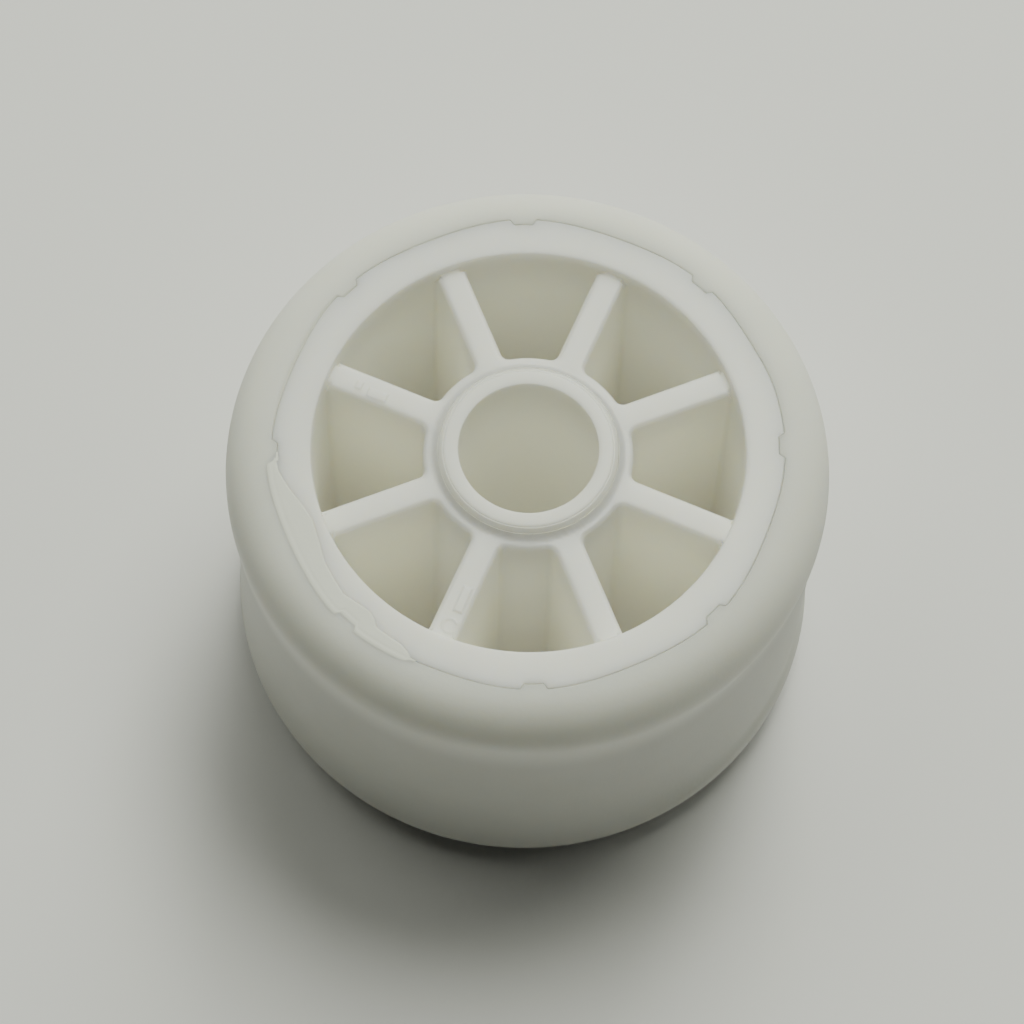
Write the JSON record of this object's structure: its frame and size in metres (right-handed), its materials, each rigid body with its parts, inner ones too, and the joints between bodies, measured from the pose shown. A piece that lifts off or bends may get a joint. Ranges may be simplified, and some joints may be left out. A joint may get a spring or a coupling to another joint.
{
  "type": "roller wheel",
  "caption": "Small plastic roller wheel with a spoked core, a soft rounded tread and a plain bearing sleeve through the hub.",
  "frame": {"origin": "centre of the sleeve's lower end face, where the wheel lies on its side", "axes": "+Z along the wheel's axis, from the lower side face to the upper one; +X and +Y each point through the middle of a spoke pocket"},
  "size_m": [0.052, 0.052, 0.0332],
  "materials": {
    "core_plastic": "natural white moulded plastic, glossy and slightly translucent",
    "tread_rubber": "matt white soft elastomer",
    "sleeve_plastic": "smooth white bearing plastic"
  },
  "bodies": {
    "sleeve": {"axle_sleeve": "sleeve_plastic"},
    "wheel": {"wheel_core": "core_plastic", "tread": "tread_rubber"}
  },
  "joints": [
    {"name": "wheel_spin", "type": "hinge", "parent": "sleeve", "child": "wheel", "pos_m": [0, 0, 0.0166], "axis": [0, 0, 1], "continuous": true}
  ]
}
